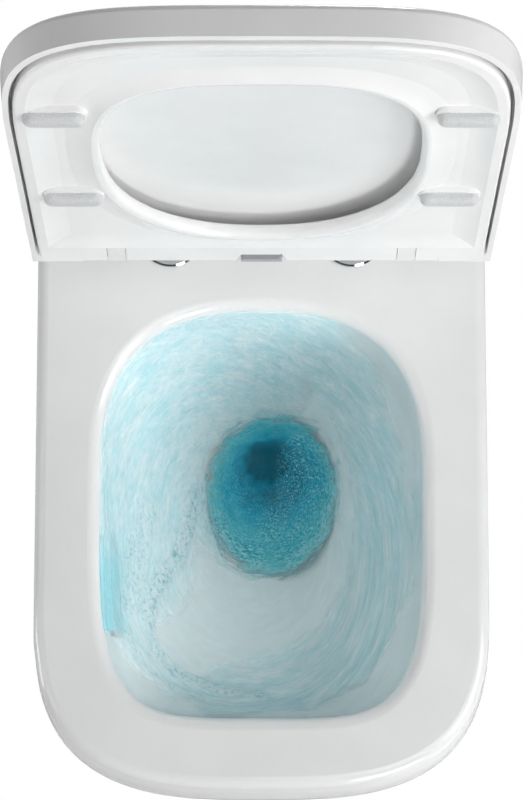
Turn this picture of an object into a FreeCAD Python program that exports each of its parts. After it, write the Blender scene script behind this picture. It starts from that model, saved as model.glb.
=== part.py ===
import FreeCAD, Part
import math
import os
import Sketcher

from FreeCAD import Placement, Rotation, Vector

# Wall hung toilet, millimetres. The wall is the plane y = 0 and the pan's front points to -Y.
# The origin is midway between the two wall fixing holes, on the wall face, with +Z up.
# Lid and seat are drawn closed, then turned up about the hinge axis to the raised rest pose.

SIZES = [
    # Ceramic pan, outside
    ("pan_width", 386), ("pan_projection", 551), ("pan_height", 345), ("rim_height", 80),
    ("rim_tuck", 2), ("rim_front_tuck", 10), ("belly_drop", 40), ("foot_side_tuck", 55),
    ("foot_front_tuck", 179), ("nose_depth", 161), ("pan_roundness", 3.0), ("rim_edge_radius", 10),
    ("foot_edge_radius", 14), ("ceramic_wall", 11), ("deck_thickness", 14),
    # Bowl mouth, with the bands of rim beside it and in front of it
    ("rim_side_band", 56), ("rim_front_band", 66), ("mouth_rear", 137), ("mouth_lip_radius", 11),
    # Bowl below the mouth: depth under the rim, and how far each level draws in from the mouth
    ("shelf_depth", 60), ("shelf_side", 13), ("shelf_rear", 9), ("shelf_front", 9),
    ("slope_depth", 125), ("slope_side", 46), ("slope_rear", 33), ("slope_front", 59),
    ("water_depth", 175), ("water_side", 77), ("water_rear", 61), ("water_front", 133),
    ("sump_depth", 248), ("sump_side", 102), ("sump_rear", 92), ("sump_front", 184),
    ("bowl_middle", 0.4), ("mouth_rear_roundness", 2.6), ("mouth_front_roundness", 4.6),
    ("sump_roundness", 2.1),
    # Trap and plumbing
    ("trap_bore", 66), ("trap_wall", 9), ("trap_bend", 45), ("trap_dip", 28), ("trap_crest", 74),
    ("trap_rise_start", 48), ("trap_crest_back", 98), ("outlet_bend_depth", 52),
    ("outlet_drop", 100), ("outlet_diameter", 102), ("outlet_bore", 86), ("outlet_length", 36),
    ("outlet_recess", 150), ("outlet_setback", 1), ("inlet_rise", 35), ("inlet_diameter", 55),
    ("inlet_depth", 48),
    # Flush channel along the left side and its outlet slot in the bowl wall
    ("channel_width", 20), ("channel_height", 30), ("channel_cover", 28), ("channel_wall", 10),
    ("slot_setback", 71), ("slot_length", 84),
    # Wall fixings
    ("stud_spacing", 180), ("stud_clearance", 12.8), ("sleeve_diameter", 24), ("sleeve_length", 66),
    ("sleeve_sink", 0.5), ("access_setback", 45), ("access_bore", 20), ("access_shoulder", 35),
    ("clamp_thread", 10),
    ("clamp_gap", 1), ("clamp_head_height", 8), ("clamp_head_gap", 2), ("cap_diameter", 36),
    ("cap_thickness", 2), ("cap_edge", 0.8), ("cap_stem_length", 8), ("cap_seat_inset", 2.5),
    # Seat fixings on the pan
    ("hinge_spacing", 155), ("hole_setback", 74), ("fixing_hole", 16), ("gasket_thickness", 0.8),
    ("gasket_inset", 1), ("rosette_diameter", 54), ("rosette_height", 4.2), ("rosette_rim", 4),
    ("rosette_dish", 1), ("rosette_edge", 1.4), ("rosette_slope", 1.5), ("post_diameter", 11),
    ("post_flange", 26), ("post_flange_thickness", 2), ("post_height", 24), ("groove_depth", 1.5),
    ("bolt_diameter", 6), ("bolt_head", 8.6), ("bolt_head_height", 6), ("bolt_head_sink", 1),
    ("bolt_key", 5), ("bolt_key_depth", 4), ("bolt_end", 2), ("bush_length", 30), ("nut_height", 10),
    ("nut_edge", 1.5),
    # Hinge axis and housing
    ("axis_rise", 22), ("axis_lead", 12.5), ("raised_lean", 7), ("housing_length", 222),
    ("housing_radius", 9.5), ("block_front", 1.5), ("block_depth", 19), ("block_top", 5),
    ("block_back", 2.5), ("block_edge_radius", 6), ("housing_gap", 0.5), ("cover_thickness", 3.4),
    ("cover_inset", 1.2), ("damper_diameter", 12), ("damper_length", 42), ("damper_end", 3),
    ("shaft_diameter", 8), ("shaft_flat", 3.25), ("shaft_cover", 12), ("pin_diameter", 6.4),
    ("bush_diameter", 10),
    # Release button, its spring and the latches
    ("button_width", 34.4), ("button_top_width", 31), ("button_height", 9.5), ("button_drop", 4),
    ("button_proud", 13.5), ("button_depth", 9), ("button_travel", 3), ("button_gap", 0.4),
    ("button_wall", 6.4), ("button_stem_width", 16), ("button_stem_length", 16),
    ("button_stem_top", 1.6), ("button_leg", 4), ("peg_diameter", 3), ("peg_offset", 14),
    ("peg_depth", 4), ("latch_width", 12), ("latch_thickness", 2.6), ("latch_inner", 8),
    ("latch_front", 5), ("spring_diameter", 5), ("spring_wire", 0.7), ("spring_turns", 4),
    # Seat ring
    ("seat_side_inset", 5.5), ("seat_front_inset", 18), ("seat_drop", 14), ("seat_thickness", 13),
    ("seat_shoulder", 240), ("seat_roundness", 4.0), ("hole_rear", 57), ("hole_front_band", 73.5),
    ("hole_side_band", 63.5), ("hole_middle", 225), ("hole_front_roundness", 3.0),
    ("hole_rear_roundness", 2.25), ("hole_lip_radius", 5), ("dish_depth", 5), ("dish_flank", 20),
    ("rim_band", 9), ("lip_band", 7), ("dish_rear", 31), ("seat_top_radius", 6), ("seat_edge_radius", 2.5),
    ("insert_space", 3.5), ("insert_width", 15), ("insert_length", 30), ("insert_radius", 8),
    ("insert_rise", 5), ("insert_gap", 0.6), ("notch_flare", 3.5), ("notch_gap", 0.8),
    ("notch_height", 15), ("buffer_length", 47), ("buffer_width", 15), ("buffer_edge_radius", 5),
    ("buffer_margin", 1.6), ("front_buffer_setback", 128.5), ("front_buffer_inset", 8.5),
    ("rear_buffer_reach", 152), ("rear_buffer_inset", 13.5),
    # Lid
    ("lid_side_gap", 2.5), ("lid_front_gap", 6.5), ("lid_skirt", 4.5), ("lid_front_skirt", 7),
    ("lid_edge_inset", 2), ("lid_draft", 4), ("lid_shoulder", 250), ("lid_roundness", 4.0),
    ("lid_thickness", 4), ("lid_gap", 9), ("lid_edge_radius", 4), ("lid_edge_drop", 12),
    ("lid_rear_gap", 1), ("ear_inner", 150), ("ear_tail", 7.5), ("ear_radius", 15.5),
    ("corner_gap", 0.5), ("pad_diameter", 14), ("front_pad_setback", 38.5), ("front_pad_spacing", 220),
    ("rear_pad_reach", 60), ("rear_pad_spacing", 300),
    # Clearances, and how far joined forms run into each other
    ("running_clearance", 0.05), ("fit_clearance", 0.1), ("free_clearance", 0.3),
    ("swing_clearance", 0.8), ("join", 1),
]

doc = FreeCAD.newDocument("WallHungToilet")
dim = doc.addObject("Spreadsheet::Sheet", "dim")
for row, (alias, number) in enumerate(SIZES, start=1):
    dim.set(f"A{row}", alias)
    dim.set(f"B{row}", str(number))
    dim.setAlias(f"B{row}", alias)
doc.recompute()

ALONG_X = Rotation(Vector(0, 1, 0), 90)
ALONG_Y = Rotation(Vector(1, 0, 0), -90)
UPRIGHT = Rotation()
MARGIN = 5.0
OUTLINE_STEPS = 24

nodes = {}


def size(name):
    """The number that the sheet holds under one alias."""
    return float(dim.get(name))


def evaluate(expression):
    return float(dim.evalExpression(expression))


# Lengths that several pieces share, as expressions on the sheet
SHAFT_REACH = "(dim.pan_width / 2 - dim.seat_side_inset + dim.lid_side_gap - dim.shaft_cover)"
DAMPER_INSET = "(dim.button_width / 2 + dim.button_gap + dim.button_wall)"
INSERT_INNER = "(dim.housing_length / 2 + dim.insert_space)"
FLOOR_RISE = "(dim.rosette_height + dim.housing_gap)"
WELL_FLOOR = "(dim.post_height - dim.bolt_head_height - dim.bolt_head_sink)"

# Places that several pieces share
deck_z = size("rim_height")
axis_y = -size("hole_setback") - size("axis_lead")
axis_z = deck_z + size("axis_rise")
post_x = size("hinge_spacing") / 2
post_y = -size("hole_setback")
gasket_top = deck_z + size("gasket_thickness")
housing_end = size("housing_length") / 2
housing_floor = gasket_top + evaluate(FLOOR_RISE)
shaft_radius = size("shaft_diameter") / 2
shaft_reach = evaluate(SHAFT_REACH)
damper_inset = evaluate(DAMPER_INSET)
insert_inner = evaluate(INSERT_INNER)
latch_floor = housing_floor + size("cover_thickness") + size("free_clearance")
latch_ceiling = latch_floor + size("latch_thickness")
latch_y = axis_y + size("latch_front")
peg_y = latch_y + size("peg_depth")
seat_half = size("pan_width") / 2 - size("seat_side_inset")
seat_reach = size("pan_projection") + axis_y - size("seat_front_inset")
seat_bottom = axis_z - size("seat_drop")
seat_top = seat_bottom + size("seat_thickness")
lid_hollow_half = seat_half + size("lid_side_gap")
lid_hollow_reach = seat_reach + size("lid_front_gap")
lid_half = lid_hollow_half + size("lid_skirt") + size("lid_edge_inset")
lid_reach = lid_hollow_reach + size("lid_front_skirt") + size("lid_draft")
lid_inside = seat_top + size("lid_gap")
lid_top = lid_inside + size("lid_thickness")
stud_x = size("stud_spacing") / 2
shoulder_x = stud_x + size("access_shoulder")

RAISED = Placement(Vector(0, 0, 0), Rotation(Vector(1, 0, 0), -90 - size("raised_lean")),
                   Vector(0, axis_y, axis_z))


def keep(label, piece, raised=False):
    """Name a finished sub-part and, for lid and seat pieces, turn it up to the raised pose."""
    piece.Label = label
    if raised:
        piece.Placement = RAISED.multiply(piece.Placement)
    nodes[label] = piece
    return piece


def cylinder(name, radius, height, place, turn=UPRIGHT):
    piece = doc.addObject("Part::Cylinder", name)
    piece.setExpression("Radius", radius)
    piece.setExpression("Height", height)
    piece.Placement = Placement(Vector(*place), turn)
    return piece


def box(name, length, width, height, place, turn=UPRIGHT):
    piece = doc.addObject("Part::Box", name)
    piece.setExpression("Length", length)
    piece.setExpression("Width", width)
    piece.setExpression("Height", height)
    piece.Placement = Placement(Vector(*place), turn)
    return piece


def fuse(name, pieces):
    piece = doc.addObject("Part::MultiFuse", name)
    piece.Shapes = pieces
    return piece


def cut(name, base, tools):
    piece = doc.addObject("Part::Cut", name)
    piece.Base = base
    piece.Tool = tools[0] if len(tools) == 1 else fuse(name + "_tools", tools)
    return piece


def mirrored(name, source):
    """The same piece on the other side of the plane x = 0."""
    piece = doc.addObject("Part::Mirroring", name)
    piece.Source = source
    piece.Normal = Vector(1, 0, 0)
    return piece


def pair(name, source):
    """One node that holds a piece and its twin on the other side."""
    piece = doc.addObject("Part::Compound", name)
    piece.Links = [source, mirrored(name + "_twin", source)]
    return piece


def coded(name, shape):
    piece = doc.addObject("Part::Feature", name)
    piece.Shape = shape
    return piece


def polygon_sketch(body, name, plane, points):
    """Closed polygon whose corners are bound to expressions for both coordinates."""
    sketch = body.newObject("Sketcher::SketchObject", name)
    origin_plane = [item for item in body.Origin.OriginFeatures if item.Role == plane][0]
    sketch.AttachmentSupport = (origin_plane, "")
    sketch.MapMode = "FlatFace"
    spots = [Vector(evaluate(across), evaluate(up), 0) for across, up in points]
    count = len(spots)
    for index in range(count):
        sketch.addGeometry(Part.LineSegment(spots[index], spots[(index + 1) % count]), False)
    for index in range(count):
        sketch.addConstraint(Sketcher.Constraint("Coincident", index, 2, (index + 1) % count, 1))
    for index, (across, up) in enumerate(points):
        for kind, expression, number in (("DistanceX", across, spots[index].x),
                                         ("DistanceY", up, spots[index].y)):
            place = sketch.addConstraint(Sketcher.Constraint(kind, -1, 1, index, 1, number))
            sketch.setExpression(f"Constraints[{place}]", expression)
    return sketch


def turned(name, profile, place, turn=UPRIGHT):
    """A body of revolution: profile corners are (radius, height) expressions about the local Z."""
    body = doc.addObject("PartDesign::Body", name)
    sketch = polygon_sketch(body, name + "_profile", "XZ_Plane", profile)
    feature = body.newObject("PartDesign::Revolution", name + "_turned")
    feature.Profile = sketch
    feature.ReferenceAxis = (sketch, ["V_Axis"])
    feature.Angle = 360
    body.Tip = feature
    body.Placement = Placement(Vector(*place), turn)
    return body


def extruded(name, plane, points, length, place):
    """A body padded from one polygon on an origin plane."""
    body = doc.addObject("PartDesign::Body", name)
    sketch = polygon_sketch(body, name + "_profile", plane, points)
    feature = body.newObject("PartDesign::Pad", name + "_pad")
    feature.Profile = sketch
    feature.setExpression("Length", length)
    body.Tip = feature
    body.Placement = Placement(Vector(*place), UPRIGHT)
    return body


def superellipse(angle, half_width, length, roundness):
    """One point of a curve between an ellipse (2) and a rectangle (large numbers)."""
    power = 2.0 / roundness
    across = math.cos(angle)
    along = math.sin(angle)
    x = half_width * math.copysign(abs(across) ** power, across)
    y = length * math.copysign(abs(along) ** power, along)
    return x, y


def d_outline(half_width, back, shoulder, front, roundness, level):
    """Closed outline with a straight back and sides and a rounded front, at one level."""
    points = []
    for step in range(OUTLINE_STEPS + 1):
        angle = -math.pi * step / OUTLINE_STEPS
        x, y = superellipse(angle, half_width, shoulder - front, roundness)
        points.append(Vector(x, shoulder + y, level))
    nose = Part.BSplineCurve()
    nose.interpolate(Points=points, InitialTangent=Vector(0, -1, 0), FinalTangent=Vector(0, 1, 0))
    right_back = Vector(half_width, back, level)
    left_back = Vector(-half_width, back, level)
    edges = [Part.LineSegment(left_back, right_back).toShape(),
             Part.LineSegment(right_back, points[0]).toShape(),
             nose.toShape(),
             Part.LineSegment(points[-1], left_back).toShape()]
    return Part.Wire(edges)


def oval_outline(half_width, rear, middle, front, rear_roundness, front_roundness, level):
    """Closed egg-like outline with its own roundness to the rear and to the front."""
    points = []
    for step in range(2 * OUTLINE_STEPS):
        angle = math.pi * step / OUTLINE_STEPS
        if math.sin(angle) >= 0:
            x, y = superellipse(angle, half_width, rear - middle, rear_roundness)
        else:
            x, y = superellipse(angle, half_width, middle - front, front_roundness)
        points.append(Vector(x, middle + y, level))
    curve = Part.BSplineCurve()
    curve.interpolate(Points=points, PeriodicFlag=True)
    return Part.Wire([curve.toShape()])


def prism(wire, height):
    return Part.Face(wire).extrude(Vector(0, 0, height))


def edges_at(shape, level, test=None):
    """Edges that lie flat at one level, and pass a test on their middle point if one is given."""
    found = []
    for edge in shape.Edges:
        bounds = edge.BoundBox
        if abs(bounds.ZMin - level) < 0.01 and abs(bounds.ZMax - level) < 0.01:
            if test is None or test(bounds.Center):
                found.append(edge)
    return found


def rounded_path(points, radius):
    """Straight runs joined by tangent arcs of one radius."""
    edges = []
    start = points[0]
    for before, corner, after in zip(points, points[1:], points[2:]):
        toward = (before - corner).normalize()
        away = (after - corner).normalize()
        half_angle = toward.getAngle(away) / 2
        inset = radius / math.tan(half_angle)
        first = corner + toward * inset
        last = corner + away * inset
        bisector = (toward + away).normalize()
        middle = corner + bisector * (radius / math.sin(half_angle) - radius)
        edges.append(Part.LineSegment(start, first).toShape())
        edges.append(Part.Arc(first, middle, last).toShape())
        start = last
    edges.append(Part.LineSegment(start, points[-1]).toShape())
    return Part.Wire(edges)


def pipe(points, bend, radius):
    """A round bar along a path of runs and bends."""
    path = rounded_path(points, bend)
    direction = (points[1] - points[0]).normalize()
    section = Part.Wire([Part.Circle(points[0], direction, radius).toShape()])
    return path.makePipeShell([section], True, False)


def solid_box(x_range, y_range, z_range):
    corner = Vector(min(x_range), min(y_range), min(z_range))
    spans = [abs(limits[1] - limits[0]) for limits in (x_range, y_range, z_range)]
    return Part.makeBox(spans[0], spans[1], spans[2], corner)


def bar(radius, start, end):
    start = Vector(*start)
    run = Vector(*end) - start
    return Part.makeCylinder(radius, run.Length, start, run)


def pan_outside(inset, back):
    """Outer form of the pan, or the same form drawn in by one wall."""
    foot_level = deck_z - size("pan_height")
    belly_level = deck_z - size("belly_drop")
    half = size("pan_width") / 2
    reach = size("pan_projection")
    stations = [(deck_z, half - size("rim_tuck"), reach - size("rim_front_tuck"))]
    steps = 4
    for step in range(steps + 1):
        share = step / steps
        fall = share * share
        stations.append((belly_level + share * (foot_level - belly_level),
                         half - fall * size("foot_side_tuck"), reach - fall * size("foot_front_tuck")))
    wires = []
    for level, half_width, front_reach in stations:
        front = -front_reach + inset
        wires.append(d_outline(half_width - inset, back, front + size("nose_depth"), front,
                               size("pan_roundness"), level))
    return Part.makeLoft(wires, True, False)


def bowl_levels():
    """Level, half width, rear and front of the bowl at the mouth and at each depth below it."""
    half = size("pan_width") / 2 - size("rim_side_band")
    rear = -size("mouth_rear")
    front = -size("pan_projection") + size("rim_front_band")
    levels = [(deck_z, half, rear, front)]
    for name in ("shelf", "slope", "water", "sump"):
        levels.append((deck_z - size(name + "_depth"), half - size(name + "_side"),
                       rear - size(name + "_rear"), front + size(name + "_front")))
    return levels


def bowl_form(grow):
    """Hollow of the bowl, or the same form grown by one wall."""
    levels = bowl_levels()
    last = len(levels) - 1
    wires = []
    for index, (level, half, rear, front) in enumerate(levels):
        share = index / last
        middle = rear + size("bowl_middle") * (front - rear)
        ends = [size(end) + share * (size("sump_roundness") - size(end))
                for end in ("mouth_rear_roundness", "mouth_front_roundness")]
        lower = grow if index == last else 0.0
        wires.append(oval_outline(half + grow, rear + grow, middle, front - grow, ends[0], ends[1],
                                  level - lower))
    return Part.makeLoft(wires, True, False)


def trap_points():
    """Corners of the water's way from the sump down, up over the weir and out at the back."""
    outlet_z = -size("outlet_drop")
    water_z = deck_z - size("water_depth")
    sump_z, half, rear, front = bowl_levels()[-1]
    sump_y = (rear + front) / 2
    dip_z = sump_z - size("trap_dip")
    return [Vector(0, sump_y, sump_z + size("trap_bore") / 2),
            Vector(0, sump_y, dip_z),
            Vector(0, rear + size("trap_rise_start"), dip_z),
            Vector(0, rear + size("trap_crest_back"), water_z + size("trap_crest")),
            Vector(0, -size("outlet_bend_depth"), outlet_z),
            Vector(0, -size("outlet_length") / 2, outlet_z)]


def make_pan():
    wall = size("ceramic_wall")
    half = size("pan_width") / 2
    foot = deck_z - size("pan_height")
    outlet_z = -size("outlet_drop")
    recess_y = -size("outlet_length")
    sleeve_radius = size("sleeve_diameter") / 2
    mouth_half, mouth_rear, mouth_front = bowl_levels()[0][1:]
    shelf_half = bowl_levels()[1][1]
    slot_front = mouth_front + size("slot_setback")
    grown = size("channel_wall")
    channel_side = -half + wall + grown
    channel_inner = channel_side + size("channel_width")
    channel_high = deck_z - size("channel_cover")
    channel_low = channel_high - size("channel_height")
    cross_y = -wall - grown / 2
    seat_face = half - size("cap_seat_inset")
    setback = -size("access_setback")

    # The form runs past the wall plane, which then cuts its back flat
    outside = pan_outside(0.0, MARGIN)
    rim_edges = edges_at(outside, deck_z, lambda spot: spot.y < -1)
    outside = outside.makeFillet(size("rim_edge_radius"), rim_edges)
    foot_edges = edges_at(outside, foot, lambda spot: spot.y < -1)
    outside = outside.makeFillet(size("foot_edge_radius"), foot_edges)
    outside = outside.cut(solid_box((-half - MARGIN, half + MARGIN), (0, 2 * MARGIN),
                                    (foot - MARGIN, deck_z + MARGIN)))

    # Water ways: bowl, trap, outlet end, inlet socket, channel to the left and along the side, slot
    bowl = bowl_form(0.0)
    trap = pipe(trap_points(), size("trap_bend"), size("trap_bore") / 2)
    outlet_end = bar(size("outlet_bore") / 2, (0, MARGIN, outlet_z), (0, recess_y - MARGIN, outlet_z))
    inlet = bar(size("inlet_diameter") / 2, (0, MARGIN, size("inlet_rise")),
                (0, -size("inlet_depth"), size("inlet_rise")))
    cross_way = solid_box((channel_side, 0), (cross_y, -size("inlet_depth")), (channel_low, channel_high))
    side_way = solid_box((channel_side, channel_inner), (cross_y, slot_front), (channel_low, channel_high))
    slot = solid_box((channel_side, -shelf_half + wall), (slot_front, slot_front + size("slot_length")),
                     (channel_low, channel_high))

    # Ceramic that stays inside the hollow: walls of the water ways, bosses of the fixings
    bowl_wall = bowl_form(wall)
    trap_wall = pipe(trap_points(), size("trap_bend"), size("trap_bore") / 2 + size("trap_wall"))
    outlet_boss = bar(size("outlet_recess") / 2 + wall, (0, 0, outlet_z), (0, recess_y - wall, outlet_z))
    inlet_boss = bar(size("inlet_diameter") / 2 + grown, (0, 0, size("inlet_rise")),
                     (0, -size("inlet_depth") - wall, size("inlet_rise")))
    cross_wall = solid_box((-half, grown), (0, -size("inlet_depth") - grown), (channel_low - grown, deck_z))
    side_wall = solid_box((-half, channel_inner + grown), (0, slot_front - grown),
                          (channel_low - grown, deck_z))
    bosses = []
    bores = []
    for side in (-1, 1):
        stud = side * stud_x
        bosses.append(bar(sleeve_radius + wall, (stud, 0, 0), (stud, -size("sleeve_length") - wall, 0)))
        bores.append(bar(sleeve_radius, (stud, MARGIN, 0), (stud, -size("sleeve_length"), 0)))
        bosses.append(bar(size("access_bore") / 2 + wall, (stud, setback, 0), (side * half, setback, 0)))
        bores.append(bar(size("clamp_thread") / 2 + size("fit_clearance"), (stud, setback, 0),
                         (side * half, setback, 0)))
        bores.append(bar(size("access_bore") / 2, (side * shoulder_x, setback, 0),
                         (side * (half + MARGIN), setback, 0)))
        bores.append(bar(size("cap_diameter") / 2 + size("free_clearance"), (side * seat_face, setback, 0),
                         (side * (half + MARGIN), setback, 0)))
        bores.append(bar(size("fixing_hole") / 2, (side * post_x, post_y, deck_z + MARGIN),
                         (side * post_x, post_y, deck_z - size("deck_thickness") - MARGIN)))

    # Hollow between the outer wall and the water ways
    room = solid_box((-half, half), (-wall, -size("pan_projection")),
                     (foot + wall, deck_z - size("deck_thickness")))
    hollow = pan_outside(wall, -wall).common(room)
    hollow = hollow.cut([bowl_wall, trap_wall, outlet_boss, inlet_boss, cross_wall, side_wall] + bosses)

    # Ring shaped recess in the back round the outlet spigot
    recess = bar(size("outlet_recess") / 2, (0, MARGIN, outlet_z), (0, recess_y, outlet_z))
    spigot_y = -size("outlet_setback")
    spigot = bar(size("outlet_diameter") / 2, (0, spigot_y, outlet_z), (0, recess_y, outlet_z))
    recess = recess.cut(spigot)

    shape = outside.cut([hollow, bowl])
    lip = edges_at(shape, deck_z, lambda spot: spot.y < mouth_rear)
    lip = [edge for edge in lip if abs(edge.BoundBox.XMax) < mouth_half + 1]
    shape = shape.makeFillet(size("mouth_lip_radius"), lip)
    shape = shape.cut([trap, outlet_end, inlet, cross_way, side_way, slot, recess] + bores)
    return keep("ceramic_pan", coded("CeramicPan", shape))


def along(reach):
    """World y of a point on the closed seat or lid, measured forward from the hinge axis."""
    return axis_y - reach


def capsule(length, width, height, place):
    """Upright pad with half round ends, its long side along X, standing on its place."""
    radius = width / 2
    half = length / 2 - radius
    corner = [Vector(-half, -radius, 0), Vector(half, -radius, 0), Vector(half, radius, 0),
              Vector(-half, radius, 0)]
    wire = Part.Wire([Part.LineSegment(corner[0], corner[1]).toShape(),
                      Part.Arc(corner[1], Vector(half + radius, 0, 0), corner[2]).toShape(),
                      Part.LineSegment(corner[2], corner[3]).toShape(),
                      Part.Arc(corner[3], Vector(-half - radius, 0, 0), corner[0]).toShape()])
    pad = prism(wire, height)
    pad.translate(Vector(*place))
    return pad


def buffer_places():
    """Centre of each seat buffer on the right half, as (node, x, reach)."""
    outer = seat_half - size("buffer_length") / 2
    return [("seat_buffers_front", outer - size("front_buffer_inset"),
             seat_reach - size("front_buffer_setback")),
            ("seat_buffers_rear", outer - size("rear_buffer_inset"), size("rear_buffer_reach"))]


def flat_bore(radius, start, end):
    """Cutter for a bore with one flat on its upper side, round the hinge axis."""
    flat = axis_z + size("shaft_flat") + size("running_clearance")
    hole = bar(radius, (start, axis_y, axis_z), (end, axis_y, axis_z))
    below = solid_box((start, end), (axis_y - 2 * radius, axis_y + 2 * radius), (flat - 4 * radius, flat))
    return hole.common(below)


def seat_opening(grow, level):
    """Outline of the seat's hole, or the same outline grown by the lip's width."""
    return oval_outline(seat_half - size("hole_side_band") + grow, along(size("hole_rear") - grow),
                        along(size("hole_middle")),
                        along(seat_reach - size("hole_front_band") + grow),
                        size("hole_rear_roundness"), size("hole_front_roundness"), level)


def rear_slant():
    """Cutter for the seat's rear edge: a plane at 45 degrees that clears the housing's round bar."""
    clear = (size("housing_radius") + size("swing_clearance")) * math.sqrt(2)
    rise = seat_top + MARGIN - axis_z
    fall = seat_bottom - MARGIN - axis_z
    corners = [(clear + rise, rise), (clear + fall, fall), (-2 * MARGIN, fall), (-2 * MARGIN, rise)]
    wire = Part.makePolygon([Vector(-seat_half - MARGIN, along(reach), axis_z + level)
                             for reach, level in corners + corners[:1]])
    return Part.Face(wire).extrude(Vector(2 * (seat_half + MARGIN), 0, 0))


def make_seat():
    outer = d_outline(seat_half, along(0), along(size("seat_shoulder")), along(seat_reach),
                      size("seat_roundness"), seat_bottom)
    shape = prism(outer, size("seat_thickness"))
    behind = along(0) - 1
    shape = shape.makeFillet(size("seat_top_radius"), edges_at(shape, seat_top, lambda s: s.y < behind))
    shape = shape.makeFillet(size("seat_edge_radius"), edges_at(shape, seat_bottom, lambda s: s.y < behind))

    # Hole with a rolled lip
    low = seat_bottom - MARGIN
    shape = shape.cut(prism(seat_opening(0.0, low), size("seat_thickness") + 2 * MARGIN))
    inner_half = seat_half - size("hole_side_band") + 1
    for level, radius in ((seat_top, size("seat_top_radius")), (seat_bottom, size("hole_lip_radius"))):
        rim = [edge for edge in edges_at(shape, level, lambda s: s.y < behind)
               if edge.BoundBox.XMax < inner_half and edge.BoundBox.XMin > -inner_half]
        shape = shape.makeFillet(radius, rim)

    # Dished underside between the outer rim and the lip, with curved flanks and bases for the buffers
    depth = size("dish_depth")
    flank = size("dish_flank")
    below = 1 / depth
    curve = [(-below, -0.1), (0.3, 0.17), (0.7, 0.5), (1.0, 1.0)]
    wires = []
    for share, run in curve:
        band = size("rim_band") + run * flank
        wires.append(d_outline(seat_half - band, along(size("dish_rear") + run * flank),
                               along(size("seat_shoulder")), along(seat_reach - band),
                               size("seat_roundness"), seat_bottom + share * depth))
    dish = Part.makeLoft(wires, True, False)
    wires = []
    for share, run in curve + [(1.0 + below, 1.3)]:
        wires.append(seat_opening(size("lip_band") + run * flank, seat_bottom + share * depth))
    islands = [Part.makeLoft(wires, True, False)]
    margin = 2 * size("buffer_margin")
    for node, x, reach in buffer_places():
        for side in (-1, 1):
            islands.append(capsule(size("buffer_length") + margin, size("buffer_width") + margin,
                                   2 * MARGIN + depth, (side * x, along(reach), low - 1)))
    tools = [dish.cut(islands)]

    # Room for the housing, the button, the lid's ears and the hinge inserts
    notch_half = size("button_width") / 2 + size("notch_gap")
    button_top = max(size("button_drop"), size("button_height") - size("button_drop"))
    button_swing = math.hypot(size("button_proud"), button_top) + size("swing_clearance")
    tools.append(rear_slant())
    tools.append(bar(button_swing, (-notch_half, axis_y, axis_z), (notch_half, axis_y, axis_z)))
    wide = notch_half + size("notch_flare")
    corners = [(-wide, -1), (wide, -1), (notch_half, size("notch_height")),
               (-notch_half, size("notch_height"))]
    notch = Part.makePolygon([Vector(x, along(reach), seat_bottom - 1)
                              for x, reach in corners + corners[:1]])
    tools.append(prism(notch, size("seat_drop") / 2))
    gap = size("insert_gap")
    corner = size("ear_inner") - size("corner_gap")
    for side in (-1, 1):
        tools.append(bar(size("ear_radius") + size("swing_clearance"), (side * corner, axis_y, axis_z),
                         (side * (seat_half + MARGIN), axis_y, axis_z)))
        tools.append(solid_box((side * (insert_inner - gap),
                                side * (insert_inner + size("insert_width") + gap)),
                               (along(-1), along(size("insert_length"))),
                               (seat_bottom - 1, axis_z - size("insert_rise"))))
    keep("seat_ring", coded("SeatRing", shape.cut(tools)), raised=True)


def make_seat_buffers():
    height = seat_bottom - deck_z - size("free_clearance")
    for node, x, reach in buffer_places():
        pad = capsule(size("buffer_length"), size("buffer_width"), height,
                      (x, along(reach), seat_bottom - height))
        pad = pad.makeFillet(size("buffer_edge_radius"), edges_at(pad, seat_bottom - height))
        keep(node, pair(node + "_pair", coded(node + "_pad", pad)), raised=True)


def make_seat_inserts():
    end = insert_inner + size("insert_width")
    block = solid_box((insert_inner, end), (along(0), along(size("insert_length"))),
                      (seat_bottom, axis_z - size("insert_rise")))
    ring = bar(size("insert_radius"), (insert_inner, axis_y, axis_z), (end, axis_y, axis_z))
    body = block.fuse(ring).removeSplitter()
    running = shaft_radius + size("running_clearance")
    keyed = body.cut(flat_bore(running, insert_inner - 1, end + 1))
    plain = body.cut(bar(running, (insert_inner - 1, axis_y, axis_z), (end + 1, axis_y, axis_z)))
    keep("seat_hinge_insert_right", coded("KeyedInsert", keyed), raised=True)
    keep("seat_hinge_insert_left", mirrored("PlainInsertLeft", coded("PlainInsert", plain)), raised=True)


def lid_outline(half, reach, back, level):
    return d_outline(half, back, along(size("lid_shoulder")), along(reach), size("lid_roundness"), level)


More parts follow.
